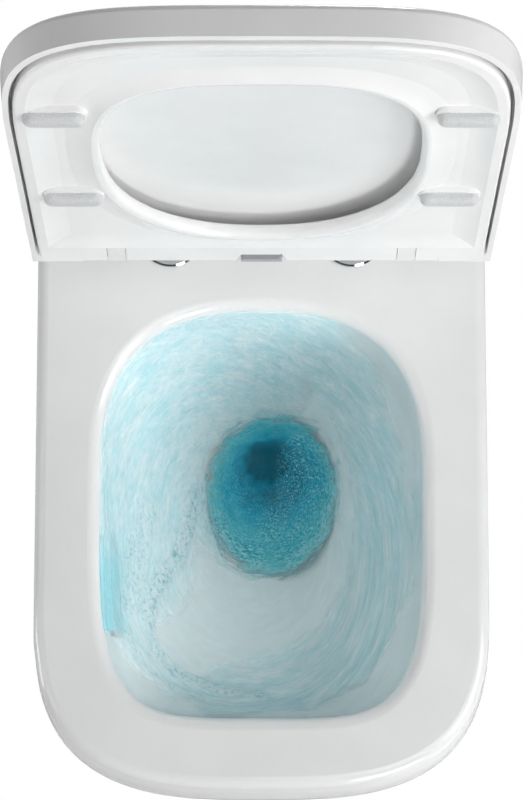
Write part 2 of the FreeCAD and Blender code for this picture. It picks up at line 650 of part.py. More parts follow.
def make_lid():
    edge = axis_z - size("lid_edge_drop")
    tail = along(-size("ear_tail"))
    inset = size("lid_edge_inset")
    shape = Part.makeLoft([lid_outline(lid_half - inset, lid_reach - size("lid_draft"), tail, edge),
                           lid_outline(lid_half, lid_reach, tail, lid_top)], True, True)
    shape = shape.makeFillet(size("lid_edge_radius"), edges_at(shape, lid_top, lambda s: s.y < tail - 1))
    hollow = prism(lid_outline(lid_hollow_half, lid_hollow_reach, tail + MARGIN, edge - MARGIN),
                   lid_inside - edge + MARGIN)
    rear = solid_box((-size("ear_inner"), size("ear_inner")),
                     (along(size("button_proud") + size("lid_rear_gap")), tail + MARGIN),
                     (edge - 1, lid_top + 1))
    shape = shape.cut([hollow, rear])

    # Ears at the hinge: round, and flush with the lid's top and the skirt's edge
    clip = solid_box((-lid_half, lid_half), (tail, along(2 * size("ear_radius"))), (edge, lid_top))
    ears = []
    for side in (-1, 1):
        ear = bar(size("ear_radius"), (side * size("ear_inner"), axis_y, axis_z),
                  (side * (lid_hollow_half + size("lid_skirt") / 2), axis_y, axis_z))
        ears.append(ear.common(clip))
    shape = shape.fuse(ears).removeSplitter()
    start = size("ear_inner") - 1
    end = shaft_reach + size("free_clearance")
    keyed = flat_bore(shaft_radius + size("running_clearance"), -start, -end)
    bush_seat = bar(size("bush_diameter") / 2 + size("fit_clearance"), (start, axis_y, axis_z),
                    (end, axis_y, axis_z))
    keep("lid", coded("Lid", shape.cut([keyed, bush_seat])), raised=True)


def make_lid_buffers():
    height = size("lid_gap") - size("free_clearance")
    pads = []
    for name, x, reach in (("FrontPad", size("front_pad_spacing") / 2, seat_reach - size("front_pad_setback")),
                           ("RearPad", size("rear_pad_spacing") / 2, size("rear_pad_reach"))):
        pad = cylinder(name, "dim.pad_diameter / 2", "dim.lid_gap - dim.free_clearance",
                       (x, along(reach), lid_inside - height))
        pads.extend([pad, mirrored(name + "Twin", pad)])
    group = doc.addObject("Part::Compound", "LidBuffers")
    group.Links = pads
    keep("lid_buffers", group, raised=True)


def make_shafts():
    inner = damper_inset + size("damper_end") + size("free_clearance")
    flat = axis_z + size("shaft_flat")
    start = f"({DAMPER_INSET} + dim.damper_end + dim.free_clearance)"
    # Lid shaft, left: runs in the left insert and is keyed in the lid's left ear
    lid_bar = cylinder("LidBar", "dim.shaft_diameter / 2", f"{SHAFT_REACH} - {start}",
                       (-shaft_reach, axis_y, axis_z), ALONG_X)
    lid_flat = box("LidFlat", f"{SHAFT_REACH} - dim.ear_inner + 2 * dim.join", "dim.shaft_diameter",
                   "dim.shaft_diameter", (-shaft_reach - size("join"), axis_y - shaft_radius, flat))
    keep("lid_shaft", cut("LidShaft", lid_bar, [lid_flat]), raised=True)
    # Seat shaft, right: keyed in the right insert, then a thinner pin for the lid's right ear
    insert_end = insert_inner + size("insert_width")
    seat_bar = cylinder("SeatBar", "dim.shaft_diameter / 2", f"{INSERT_INNER} + dim.insert_width - {start}",
                        (inner, axis_y, axis_z), ALONG_X)
    seat_flat = box("SeatFlat", "dim.insert_width + 2 * dim.join", "dim.shaft_diameter",
                    "dim.shaft_diameter", (insert_inner - size("join"), axis_y - shaft_radius, flat))
    seat_pin = cylinder("SeatPin", "dim.pin_diameter / 2",
                        f"{SHAFT_REACH} - {INSERT_INNER} - dim.insert_width + dim.join",
                        (insert_end - size("join"), axis_y, axis_z), ALONG_X)
    keep("seat_shaft", fuse("SeatShaft", [cut("SeatKeyed", seat_bar, [seat_flat]), seat_pin]), raised=True)
    bore = "dim.pin_diameter / 2 + dim.running_clearance"
    length = f"{SHAFT_REACH} - dim.ear_inner"
    bush = turned("LidBush", [(bore, "0"), ("dim.bush_diameter / 2", "0"),
                              ("dim.bush_diameter / 2", length), (bore, length)],
                  (size("ear_inner"), axis_y, axis_z), ALONG_X)
    keep("lid_bush", bush, raised=True)


def make_dampers():
    bore = "dim.shaft_diameter / 2 + dim.running_clearance"
    outer = "dim.damper_diameter / 2"
    damper = turned("SeatDamper", [("0", "0"), (outer, "0"), (outer, "dim.damper_length"),
                                   (bore, "dim.damper_length"), (bore, "dim.damper_end"),
                                   ("0", "dim.damper_end")],
                    (damper_inset, axis_y, axis_z), ALONG_X)
    keep("seat_damper", damper)
    keep("lid_damper", mirrored("LidDamper", damper))
    length = f"dim.housing_length / 2 - {DAMPER_INSET} - dim.damper_length - dim.free_clearance"
    sleeve_x = damper_inset + size("damper_length") + size("free_clearance")
    sleeve = turned("ShaftSleeve", [(bore, "0"), (outer, "0"), (outer, length), (bore, length)],
                    (sleeve_x, axis_y, axis_z), ALONG_X)
    keep("shaft_sleeves", pair("ShaftSleeves", sleeve))


def make_housing():
    block_y = axis_y + size("block_front")
    block_back = block_y + size("block_depth")
    block_top = axis_z + size("block_top")
    above_floor = f"(dim.axis_rise - dim.gasket_thickness - {FLOOR_RISE})"
    round_part = cylinder("HousingRound", "dim.housing_radius", "dim.housing_length",
                          (-housing_end, axis_y, axis_z), ALONG_X)
    block = box("HousingBlock", "dim.housing_length", "dim.block_depth", f"{above_floor} + dim.block_top",
                (-housing_end, block_y, housing_floor))
    doc.recompute()
    rounded = doc.addObject("Part::Fillet", "HousingBlockRounded")
    rounded.Base = block
    radius = size("block_edge_radius")
    rounded.Edges = [(index, radius, radius) for index, edge in enumerate(block.Shape.Edges, start=1)
                     if abs(edge.CenterOfMass.y - block_back) < 0.01
                     and abs(edge.CenterOfMass.z - block_top) < 0.01]
    solid = fuse("HousingSolid", [round_part, rounded])

    # Bores for dampers and posts, then the rooms for the latches and the button
    tools = []
    for side, start in (("Right", damper_inset), ("Left", -housing_end - size("join"))):
        tools.append(cylinder("DamperBore" + side, "dim.damper_diameter / 2 + dim.fit_clearance",
                              f"dim.housing_length / 2 - {DAMPER_INSET} + dim.join",
                              (start, axis_y, axis_z), ALONG_X))
    for side, x in (("Right", post_x), ("Left", -post_x)):
        tools.append(cylinder("PostSocket" + side, "dim.post_diameter / 2 + dim.fit_clearance",
                              "dim.post_height + dim.free_clearance", (x, post_y, gasket_top)))
    room_half = post_x - size("post_diameter") / 2 + size("groove_depth")
    tools.append(box("LatchRoom", "dim.hinge_spacing - dim.post_diameter + 2 * dim.groove_depth",
                     "dim.latch_width + 2 * dim.free_clearance",
                     "dim.cover_thickness + dim.latch_thickness + 2 * dim.free_clearance + dim.join",
                     (-room_half, latch_y - size("free_clearance"), housing_floor - size("join"))))
    button_half = size("button_width") / 2 + size("button_gap")
    tools.append(box("ButtonRoom", "dim.button_width + 2 * dim.button_gap",
                     "dim.block_front + dim.block_depth - dim.block_back",
                     f"{above_floor} + dim.button_stem_top + dim.free_clearance - dim.cover_thickness",
                     (-button_half, axis_y, housing_floor + size("cover_thickness"))))
    tools.append(box("ButtonMouth", "dim.button_width + 2 * dim.button_gap",
                     "dim.button_proud + dim.join", "dim.button_height + 2 * dim.button_gap",
                     (-button_half, axis_y - size("button_proud"),
                      axis_z - size("button_drop") - size("button_gap"))))
    keep("hinge_housing", cut("HingeHousing", solid, tools))
    cover_half = post_x - size("post_diameter") / 2 - size("cover_inset")
    cover = box("HingeCover", "dim.hinge_spacing - dim.post_diameter - 2 * dim.cover_inset",
                "dim.latch_width", "dim.cover_thickness", (-cover_half, latch_y, housing_floor))
    keep("hinge_cover", cover)


def make_button():
    lower = axis_z - size("button_drop")
    head_back = axis_y - size("button_proud") + size("button_depth")
    stem_y = head_back - size("join")
    stem_end = stem_y + size("button_stem_length")
    head = extruded("ButtonHead", "XZ_Plane",
                    [("-dim.button_width / 2", "0"), ("dim.button_width / 2", "0"),
                     ("dim.button_top_width / 2", "dim.button_height"),
                     ("-dim.button_top_width / 2", "dim.button_height")],
                    "dim.button_depth", (0, head_back, lower))
    stem = box("ButtonStem", "dim.button_stem_width", "dim.button_stem_length",
               "dim.button_drop + dim.button_stem_top", (-size("button_stem_width") / 2, stem_y, lower))
    leg_bottom = latch_ceiling + size("free_clearance")
    above_latch = (f"dim.axis_rise - dim.gasket_thickness - {FLOOR_RISE} - dim.cover_thickness"
                   " - dim.latch_thickness - 2 * dim.free_clearance")
    leg = box("ButtonLeg", "2 * dim.peg_offset + dim.peg_diameter", "dim.button_leg",
              f"{above_latch} - dim.button_drop + dim.join",
              (-size("peg_offset") - size("peg_diameter") / 2, stem_end - size("button_leg"), leg_bottom))
    pegs = [cylinder("ButtonPeg" + side, "dim.peg_diameter / 2",
                     "dim.latch_thickness + dim.free_clearance + dim.join", (x, peg_y, latch_floor))
            for side, x in (("Right", size("peg_offset")), ("Left", -size("peg_offset")))]
    keep("release_button", fuse("ReleaseButton", [head, stem, leg] + pegs))

    # Spring between the stem's end and the back of the housing
    wire = size("spring_wire") / 2
    coil_radius = size("spring_diameter") / 2 - wire
    length = axis_y + size("block_front") + size("block_depth") - size("block_back") - stem_end - 2 * wire
    coil = Part.makeHelix(length / size("spring_turns"), length, coil_radius)
    end = Part.Wire([Part.Circle(Vector(coil_radius, 0, 0), Vector(0, 1, 0), wire).toShape()])
    spring = coil.makePipeShell([end], True, True)
    level = lower + (size("button_drop") + size("button_stem_top")) / 2
    spring.Placement = Placement(Vector(0, stem_end + wire, level), ALONG_Y)
    keep("button_spring", coded("ButtonSpring", spring))


def make_latches():
    plate = box("LatchPlate", "dim.hinge_spacing / 2 - dim.post_diameter / 2 + dim.groove_depth"
                " - dim.free_clearance - dim.latch_inner", "dim.latch_width", "dim.latch_thickness",
                (size("latch_inner"), latch_y, latch_floor))
    # The peg's slot runs at 45 degrees, so the latch draws in as far as the button goes in
    width = size("peg_diameter") + 2 * size("free_clearance")
    turn = Rotation(Vector(0, 0, 1), 45)
    back = turn.multVec(Vector(-width / 2, -width / 2, 0))
    slot = box("LatchSlot", "dim.button_travel * sqrt(2) + dim.peg_diameter + 2 * dim.free_clearance",
               "dim.peg_diameter + 2 * dim.free_clearance", "dim.latch_thickness + 2 * dim.join",
               (size("peg_offset") + back.x, peg_y + back.y, latch_floor - size("join")), turn)
    latch = cut("LatchRight", plate, [slot])
    keep("latch_right", latch)
    keep("latch_left", mirrored("LatchLeft", latch))


def make_posts():
    bore = "dim.bolt_diameter / 2 + dim.fit_clearance"
    well = "dim.bolt_head / 2 + dim.fit_clearance"
    outer = "dim.post_diameter / 2"
    waist = "dim.post_diameter / 2 - dim.groove_depth"
    groove_low = f"{FLOOR_RISE} + dim.cover_thickness"
    groove_high = groove_low + " + dim.latch_thickness + 2 * dim.free_clearance"
    post = turned("HingePost", [(bore, "0"), ("dim.post_flange / 2", "0"),
                                ("dim.post_flange / 2", "dim.post_flange_thickness"),
                                (outer, "dim.post_flange_thickness"), (outer, groove_low),
                                (waist, groove_low), (waist, groove_high), (outer, groove_high),
                                (outer, "dim.post_height"), (well, "dim.post_height"),
                                (well, WELL_FLOOR), (bore, WELL_FLOOR)],
                  (post_x, post_y, gasket_top))
    keep("hinge_post_right", post)
    keep("hinge_post_left", mirrored("HingePostLeft", post))

    ring = "dim.rosette_diameter / 2"
    dish = "dim.rosette_height - dim.rosette_dish"
    inner = "dim.post_diameter / 2 + dim.fit_clearance"
    clear = "dim.post_flange / 2 + dim.free_clearance"
    under = "dim.post_flange_thickness + dim.fit_clearance"
    rosette = turned("Rosette", [(clear, "0"), (ring, "0"), (ring, "dim.rosette_height - dim.rosette_edge"),
                                 (ring + " - dim.rosette_edge", "dim.rosette_height"),
                                 (ring + " - dim.rosette_rim", "dim.rosette_height"),
                                 (ring + " - dim.rosette_rim - dim.rosette_slope", dish), (inner, dish),
                                 (inner, under), (clear, under)],
                     (post_x, post_y, gasket_top))
    keep("hinge_rosette_right", rosette)
    keep("hinge_rosette_left", mirrored("RosetteLeft", rosette))

    edge = ring + " - dim.gasket_inset"
    gasket = turned("Gasket", [(bore, "0"), (edge, "0"), (edge, "dim.gasket_thickness"),
                               (bore, "dim.gasket_thickness")], (post_x, post_y, deck_z))
    keep("rosette_gaskets", pair("RosetteGaskets", gasket))


def make_mounting_bolts():
    """Bolt from the post's top down through the deck, with a rubber bush that a nut spreads below."""
    bore = "dim.bolt_diameter / 2 + dim.fit_clearance"
    shank = "dim.bolt_diameter / 2"
    reach = f"{WELL_FLOOR} + dim.gasket_thickness + dim.bush_length + dim.nut_height + dim.bolt_end"
    head = "dim.bolt_head / 2"
    end = reach + " + dim.bolt_head_height"
    key = "dim.bolt_key / 2"
    key_floor = end + " - dim.bolt_key_depth"
    nut_z = deck_z - size("bush_length") - size("nut_height")
    bolt = turned("Bolt", [("0", "0"), (shank, "0"), (shank, reach), (head, reach), (head, end),
                           (key, end), (key, key_floor), ("0", key_floor)],
                  (post_x, post_y, nut_z - size("bolt_end")))
    keep("mounting_bolts", pair("MountingBolts", bolt))
    outer = "dim.fixing_hole / 2 - dim.fit_clearance"
    bush = turned("ExpansionBush", [(bore, "0"), (outer, "0"), (outer, "dim.bush_length"),
                                    (bore, "dim.bush_length")],
                  (post_x, post_y, deck_z - size("bush_length")))
    keep("expansion_bushes", pair("ExpansionBushes", bush))
    nut = turned("ExpansionNut", [(bore, "0"), (outer + " - dim.nut_edge", "0"), (outer, "dim.nut_edge"),
                                  (outer, "dim.nut_height"), (bore, "dim.nut_height")],
                 (post_x, post_y, nut_z))
    keep("expansion_nuts", pair("ExpansionNuts", nut))


def make_wall_fixings():
    setback = -size("access_setback")
    sleeve = cut("FixingSleeve",
                 cylinder("SleeveOuter", "dim.sleeve_diameter / 2 - dim.fit_clearance",
                          "dim.sleeve_length - dim.sleeve_sink",
                          (stud_x, -size("sleeve_length"), 0), ALONG_Y),
                 [cylinder("SleeveBore", "dim.stud_clearance / 2", "dim.sleeve_length + 2 * dim.join",
                           (stud_x, -size("sleeve_length") - size("join"), 0), ALONG_Y),
                  cylinder("SleeveThread", "dim.clamp_thread / 2 + dim.fit_clearance",
                           "dim.sleeve_diameter", (stud_x, setback, 0), ALONG_X)])
    keep("fixing_sleeves", pair("FixingSleeves", sleeve))
    thread = "dim.clamp_thread / 2"
    head = "dim.access_bore / 2 - dim.clamp_head_gap"
    length = "dim.access_shoulder - dim.stud_clearance / 2 - dim.clamp_gap"
    end = length + " + dim.clamp_head_height"
    screw = turned("ClampScrew", [("0", "0"), (thread, "0"), (thread, length), (head, length),
                                  (head, end), ("0", end)],
                   (stud_x + size("stud_clearance") / 2 + size("clamp_gap"), setback, 0), ALONG_X)
    keep("fixing_screws", pair("FixingScrews", screw))
    stem = "dim.access_bore / 2 - dim.free_clearance"
    rim = "dim.cap_diameter / 2"
    face = "dim.cap_stem_length + dim.cap_thickness"
    cap = turned("CoverCap", [("0", "0"), (stem, "0"), (stem, "dim.cap_stem_length"),
                              (rim, "dim.cap_stem_length"), (rim, face + " - dim.cap_edge"),
                              (rim + " - dim.cap_edge", face), ("0", face)],
                 (size("pan_width") / 2 - size("cap_seat_inset") - size("cap_stem_length"), setback, 0),
                 ALONG_X)
    keep("cover_cap_right", cap)
    keep("cover_cap_left", mirrored("CoverCapLeft", cap))


def check_pieces():
    """Names of everything that failed to build, checked before any file is written."""
    doc.recompute()
    faults = [item.Name for item in doc.Objects if "Invalid" in item.State or "Error" in item.State]
    for label, piece in nodes.items():
        shape = piece.Shape
        if shape.isNull() or not shape.isValid() or not shape.Solids:
            faults.append(label)
    return faults


make_pan()
make_wall_fixings()
make_posts()
make_mounting_bolts()
make_housing()
make_dampers()
make_button()
make_latches()
make_seat()
make_seat_buffers()
make_seat_inserts()
make_lid()
make_lid_buffers()
make_shafts()

failed = check_pieces()
if failed:
    raise RuntimeError("failed: " + ", ".join(failed))
os.makedirs("parts", exist_ok=True)
for label, piece in nodes.items():
    piece.Shape.exportStep(f"parts/{label}.step")
    print(f"{label}: {len(piece.Shape.Solids)} solids, {piece.Shape.Volume / 1000:.2f} cm3")
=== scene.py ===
import math

import bpy
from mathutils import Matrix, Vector, noise


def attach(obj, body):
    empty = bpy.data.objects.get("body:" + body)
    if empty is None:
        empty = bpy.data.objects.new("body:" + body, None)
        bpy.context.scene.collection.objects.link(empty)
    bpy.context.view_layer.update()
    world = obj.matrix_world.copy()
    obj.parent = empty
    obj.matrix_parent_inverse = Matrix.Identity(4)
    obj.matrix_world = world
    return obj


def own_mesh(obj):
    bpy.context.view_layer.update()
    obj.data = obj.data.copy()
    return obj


# Wall hung toilet with seat and lid raised, in the middle of a swirling flush, seen from above.
# Metres, in the frame of the construction: the wall is y = 0, the front points to -Y, +Z is up.

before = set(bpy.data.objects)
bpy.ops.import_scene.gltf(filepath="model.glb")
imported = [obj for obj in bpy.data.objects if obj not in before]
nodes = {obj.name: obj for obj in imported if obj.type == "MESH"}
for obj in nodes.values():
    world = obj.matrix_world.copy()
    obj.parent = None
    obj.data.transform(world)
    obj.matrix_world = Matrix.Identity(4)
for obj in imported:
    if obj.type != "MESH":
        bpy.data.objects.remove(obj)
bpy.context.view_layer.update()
MM = 0.001

# Sizes of the object that the scene needs, in millimetres
RIM_LEVEL = 80
RIM_ABOVE_FLOOR = 400
# Bowl sections from the mouth down: level, half width, rear, front, then the roundness to the
# rear and to the front
BOWL = [(80, 137, -137, -485, 2.6, 4.6), (20, 124, -146, -476, 2.475, 3.975),
        (-45, 91, -170, -426, 2.35, 3.35), (-95, 60, -198, -352, 2.225, 2.725),
        (-168, 35, -229, -301, 2.1, 2.1)]
# A section is widest at this share of the way from its rear to its front
BOWL_WIDEST = 0.4
# Side, ends and levels of the flush slot in the bowl's left wall
SLOT_SIDE = -100
SLOT_ENDS = (-425, -315)
SLOT_LEVELS = (12, 62)
# A point of the film that is drawn further than this has gone into the slot
SLOT_MOVE = 3

# Film of water on the bowl's wall, in millimetres, with its grid as counts and its cover a share
FILM_TOP = 75
FILM_BOTTOM = -120
FILM_GRID = (280, 120)
FILM_OFFSET = 1.0
FILM_THICKNESS = 0.6
FILM_MERGE = 0.05
FILM_LEAST_COVER = 0.22
FILM_FADE = (FILM_TOP - 9, FILM_TOP - 1)
# Its grid starts this far off the wall, towards a point this share of the way to the middle
FILM_START = 1.5
FILM_AIM = 0.6
# Mean height of its waves and of its froth, each with the swing about it
WAVE_MEAN, WAVE_SWING = 0.6, 0.7
FROTH_MEAN, FROTH_SWING = 0.9, 1.1
# They rise towards this point over the middle of the bowl
WAVE_AIM = (0, -305, 60)
# Jet from the slot: where it sets in at the front, fades to the rear and fades to the middle
JET_FRONT = (-413, -409)
JET_REAR = (-362, -312)
JET_SIDE = (-128, -108)

# Pool over the drain, in millimetres, with its tilt to the right and its fringe as shares
POOL_CENTRE = (9, -272)
POOL_HALF_WIDTH = 64
POOL_HALF_LENGTH = 79
POOL_HALF_DEPTH = 14
POOL_LEVEL = -96
POOL_TILT = 0.25
POOL_FRINGE = 1.1
POOL_TOP_GAP = 1.2
POOL_BASE_GAP = 0.6
POOL_WAVES = 2.0
POOL_HEART = (10, -255)
VORTEX_EYE = (5, -239)
EYE_DIP = 12
EYE_REACH = 38
EYE_RAGGED = 7
EYE_LOBE = 8
# Where its tone fades outwards from the heart, where the eye ends and where the flecks set in
HEART_FADE = (16, 62)
EYE_EDGE = (15, 23)
FLECK_START = (20, 34)
# The shallows are paler in front of this stretch than behind it, counted from the centre
SHALLOWS_TURN = (-10, 50)
# Shares of the way from the pool's centre to its outline: where the waves calm down, where it
# gets shallow, where it ends and where the film's deeper tone under it ends
CALM = (0.5, 1.1)
SHALLOWS = (0.66, 1.0)
POOL_END = (0.84, 1.0)
UNDER_POOL = (0.86, 1.04)

# Swirl: millimetres to one noise unit across it and down the wall, radius in noise units round
# the bowl and the pool, turn in radians for each millimetre outwards, and its oval shape
SWIRL_UNIT = 9
SWIRL_FALL = 40
BOWL_ROUND = 3.2
POOL_ROUND = 2
BOWL_TWIST = 0.009
POOL_TWIST = 0.012
BOWL_OVAL = 0.75
# The streams shift inwards by up to this many noise units, and by none at this angle
DRIFT = 6
DRIFT_FROM = math.radians(150)


# Node and colour helpers

def colour(code):
    """An sRGB hex value as the linear colour that a socket takes."""
    channels = [int(code[place:place + 2], 16) / 255 for place in (1, 3, 5)]
    linear = [c / 12.92 if c <= 0.04045 else ((c + 0.055) / 1.055) ** 2.4 for c in channels]
    return (*linear, 1.0)


def add_node(tree, kind, inputs=None, **settings):
    """One node with its settings, and each input as a number, a colour or a socket to link."""
    node = tree.nodes.new(kind)
    for name, value in settings.items():
        setattr(node, name, value)
    for name, value in (inputs or {}).items():
        if isinstance(value, bpy.types.NodeSocket):
            tree.links.new(value, node.inputs[name])
        else:
            node.inputs[name].default_value = value
    return node


def new_material(name):
    """A material with an empty tree, its Principled shader and its output."""
    material = bpy.data.materials.new(name)
    material.use_nodes = True
    tree = material.node_tree
    tree.nodes.clear()
    shader = add_node(tree, "ShaderNodeBsdfPrincipled")
    add_node(tree, "ShaderNodeOutputMaterial", {"Surface": shader.outputs[0]})
    return material, tree, shader


def per_metre(millimetres):
    """Noise scale whose features are about this wide, for coordinates in metres."""
    return 1 / (millimetres * MM)


def set_values(shader, **values):
    """Constants on the shader's own sockets, with _ for the spaces in their names."""
    for name, value in values.items():
        shader.inputs[name.replace("_", " ")].default_value = value


# Materials

def glazed_ceramic():
    """Vitreous china under a gloss glaze: white, deep shine, faint waves where the glaze ran."""
    material, tree, shader = new_material("vitreous_china_gloss_glaze")
    spot = add_node(tree, "ShaderNodeTexCoord").outputs["Object"]
    cloud = add_node(tree, "ShaderNodeTexNoise", {"Vector": spot, "Scale": per_metre(60),
                                                  "Detail": 3.0})
    tint = add_node(tree, "ShaderNodeValToRGB", {"Fac": cloud.outputs["Fac"]})
    tint.color_ramp.elements[0].position = 0.3
    tint.color_ramp.elements[0].color = colour("#f6f7f7")
    tint.color_ramp.elements[1].position = 0.7
    tint.color_ramp.elements[1].color = colour("#fafbfb")
    tree.links.new(tint.outputs["Color"], shader.inputs["Base Color"])
    wave = add_node(tree, "ShaderNodeTexNoise", {"Vector": spot, "Scale": per_metre(35),
                                                 "Detail": 1.0})
    bump = add_node(tree, "ShaderNodeBump", {"Height": wave.outputs["Fac"], "Strength": 0.05,
                                             "Distance": 1 * MM})
    tree.links.new(bump.outputs["Normal"], shader.inputs["Normal"])
    set_values(shader, Roughness=0.1, IOR=1.52, Coat_Weight=0.1, Coat_Roughness=0.05)
    return material


def moulded_plastic(name, low, high, roughness, grain):
    """A moulded plastic: even colour, soft gloss and the faint texture of the mould."""
    material, tree, shader = new_material(name)
    spot = add_node(tree, "ShaderNodeTexCoord").outputs["Object"]
    cloud = add_node(tree, "ShaderNodeTexNoise", {"Vector": spot, "Scale": per_metre(45),
                                                  "Detail": 2.0})
    tint = add_node(tree, "ShaderNodeValToRGB", {"Fac": cloud.outputs["Fac"]})
    tint.color_ramp.elements[0].position = 0.3
    tint.color_ramp.elements[0].color = colour(low)
    tint.color_ramp.elements[1].position = 0.7
    tint.color_ramp.elements[1].color = colour(high)
    tree.links.new(tint.outputs["Color"], shader.inputs["Base Color"])
    skin = add_node(tree, "ShaderNodeTexNoise", {"Vector": spot, "Scale": per_metre(grain),
                                                 "Detail": 2.0})
    bump = add_node(tree, "ShaderNodeBump", {"Height": skin.outputs["Fac"], "Strength": 0.03,
                                             "Distance": 0.3 * MM})
    tree.links.new(bump.outputs["Normal"], shader.inputs["Normal"])
    set_values(shader, Roughness=roughness, IOR=1.5)
    return material


def moulded_rubber(name, low, high):
    """Soft matt rubber: a dry, fine-grained skin that takes no clear reflection."""
    material, tree, shader = new_material(name)
    spot = add_node(tree, "ShaderNodeTexCoord").outputs["Object"]
    grain = add_node(tree, "ShaderNodeTexNoise", {"Vector": spot, "Scale": per_metre(1.2),
                                                  "Detail": 4.0})
    tint = add_node(tree, "ShaderNodeValToRGB", {"Fac": grain.outputs["Fac"]})
    tint.color_ramp.elements[0].position = 0.35
    tint.color_ramp.elements[0].color = colour(low)
    tint.color_ramp.elements[1].position = 0.65
    tint.color_ramp.elements[1].color = colour(high)
    tree.links.new(tint.outputs["Color"], shader.inputs["Base Color"])
    bump = add_node(tree, "ShaderNodeBump", {"Height": grain.outputs["Fac"], "Strength": 0.15,
                                             "Distance": 0.2 * MM})
    tree.links.new(bump.outputs["Normal"], shader.inputs["Normal"])
    set_values(shader, Roughness=0.6, IOR=1.5)
    return material


def plated_metal(name, low, high, roughness, brushing):
    """Plated or drawn metal: a mirror on chrome, duller and faintly brushed on zinc or wire."""
    material, tree, shader = new_material(name)
    spot = add_node(tree, "ShaderNodeTexCoord").outputs["Object"]
    stretch = add_node(tree, "ShaderNodeMapping", {"Vector": spot, "Scale": (0.15, 1.0, 1.0)})
    streak = add_node(tree, "ShaderNodeTexNoise", {"Vector": stretch.outputs["Vector"],
                                                   "Scale": per_metre(brushing), "Detail": 3.0})
    tint = add_node(tree, "ShaderNodeValToRGB", {"Fac": streak.outputs["Fac"]})
    tint.color_ramp.elements[0].position = 0.3
    tint.color_ramp.elements[0].color = colour(low)
    tint.color_ramp.elements[1].position = 0.7
    tint.color_ramp.elements[1].color = colour(high)
    tree.links.new(tint.outputs["Color"], shader.inputs["Base Color"])
    bump = add_node(tree, "ShaderNodeBump", {"Height": streak.outputs["Fac"],
                                             "Strength": roughness / 2, "Distance": 0.1 * MM})
    tree.links.new(bump.outputs["Normal"], shader.inputs["Normal"])
    set_values(shader, Metallic=1.0, Roughness=roughness)
    return material


def water_sheet():
    """Flush water as a thin moving sheet: clear aqua, streaked along the swirl, with froth."""
    material, tree, shader = new_material("flush_water_swirling_sheet")
    swirl = add_node(tree, "ShaderNodeAttribute", attribute_name="swirl").outputs["Vector"]
    wet = add_node(tree, "ShaderNodeAttribute", attribute_name="wet").outputs["Fac"]
    froth = add_node(tree, "ShaderNodeAttribute", attribute_name="froth").outputs["Fac"]
    deep = add_node(tree, "ShaderNodeAttribute", attribute_name="deep").outputs["Fac"]
    # Noise units are 9 mm across the swirl, so the streaks are about 9 mm and 3 mm wide
    long_streak = add_node(tree, "ShaderNodeTexNoise", {"Vector": swirl, "Scale": 1.0,
                                                        "Detail": 5.0, "Roughness": 0.6,
                                                        "Distortion": 0.4})
    short_streak = add_node(tree, "ShaderNodeTexNoise", {"Vector": swirl, "Scale": 3.2,
                                                         "Detail": 4.0, "Roughness": 0.65,
                                                         "Distortion": 0.8})
    streak = add_node(tree, "ShaderNodeMath", {0: long_streak.outputs["Fac"],
                                               1: short_streak.outputs["Fac"]}, operation="ADD")
    tone = add_node(tree, "ShaderNodeMapRange", {"Value": streak.outputs[0], "From Min": 0.75,
                                                 "From Max": 1.25})
    # The near-white end of the streaks is partly paler aerated water and partly painted highlight
    # along the ripples
    pale = add_node(tree, "ShaderNodeMix", {"Factor": tone.outputs["Result"],
                                            "A": colour("#c6f3f9"), "B": colour("#f3fdff")},
                    data_type="RGBA")
    rich = add_node(tree, "ShaderNodeMix", {"Factor": deep, "A": pale.outputs["Result"],
                                            "B": colour("#aef0fa")}, data_type="RGBA")
    # Froth breaks into cells of about 4 mm. Their near-white is partly the froth's own white and
    # partly painted sparkle
    spot = add_node(tree, "ShaderNodeTexCoord").outputs["Object"]
    cells = add_node(tree, "ShaderNodeTexNoise", {"Vector": spot, "Scale": per_metre(4),
                                                  "Detail": 3.0, "Roughness": 0.6,
                                                  "Distortion": 0.8})
    foam_and_sparkle_tone = add_node(tree, "ShaderNodeMapRange", {"Value": cells.outputs["Fac"],
                                                      "From Min": 0.36, "From Max": 0.5})
    foam = add_node(tree, "ShaderNodeMix", {"Factor": foam_and_sparkle_tone.outputs["Result"],
                                            "A": colour("#8fcfda"), "B": colour("#eafcff")},
                    data_type="RGBA")
    skin = add_node(tree, "ShaderNodeMix", {"Factor": froth, "A": rich.outputs["Result"],
                                            "B": foam.outputs["Result"]}, data_type="RGBA")
    tree.links.new(skin.outputs["Result"], shader.inputs["Base Color"])
    body = add_node(tree, "ShaderNodeMath", {0: tone.outputs["Result"], 1: 0.2, 2: 0.6},
                    operation="MULTIPLY_ADD")
    cover = add_node(tree, "ShaderNodeMath", {0: wet, 1: body.outputs[0]}, operation="MULTIPLY")
    filled = add_node(tree, "ShaderNodeMath", {0: cover.outputs[0], 1: deep}, operation="MAXIMUM")
    tree.links.new(filled.outputs[0], shader.inputs["Alpha"])
    ripples = add_node(tree, "ShaderNodeMath", {0: streak.outputs[0], 1: wet},
                       operation="MULTIPLY")
    relief = add_node(tree, "ShaderNodeMath", {0: cells.outputs["Fac"], 1: froth,
                                               2: ripples.outputs[0]}, operation="MULTIPLY_ADD")
    bump = add_node(tree, "ShaderNodeBump", {"Height": relief.outputs[0], "Strength": 0.45,
                                             "Distance": 3 * MM})
    tree.links.new(bump.outputs["Normal"], shader.inputs["Normal"])
    set_values(shader, Roughness=0.1, IOR=1.33)
    return material


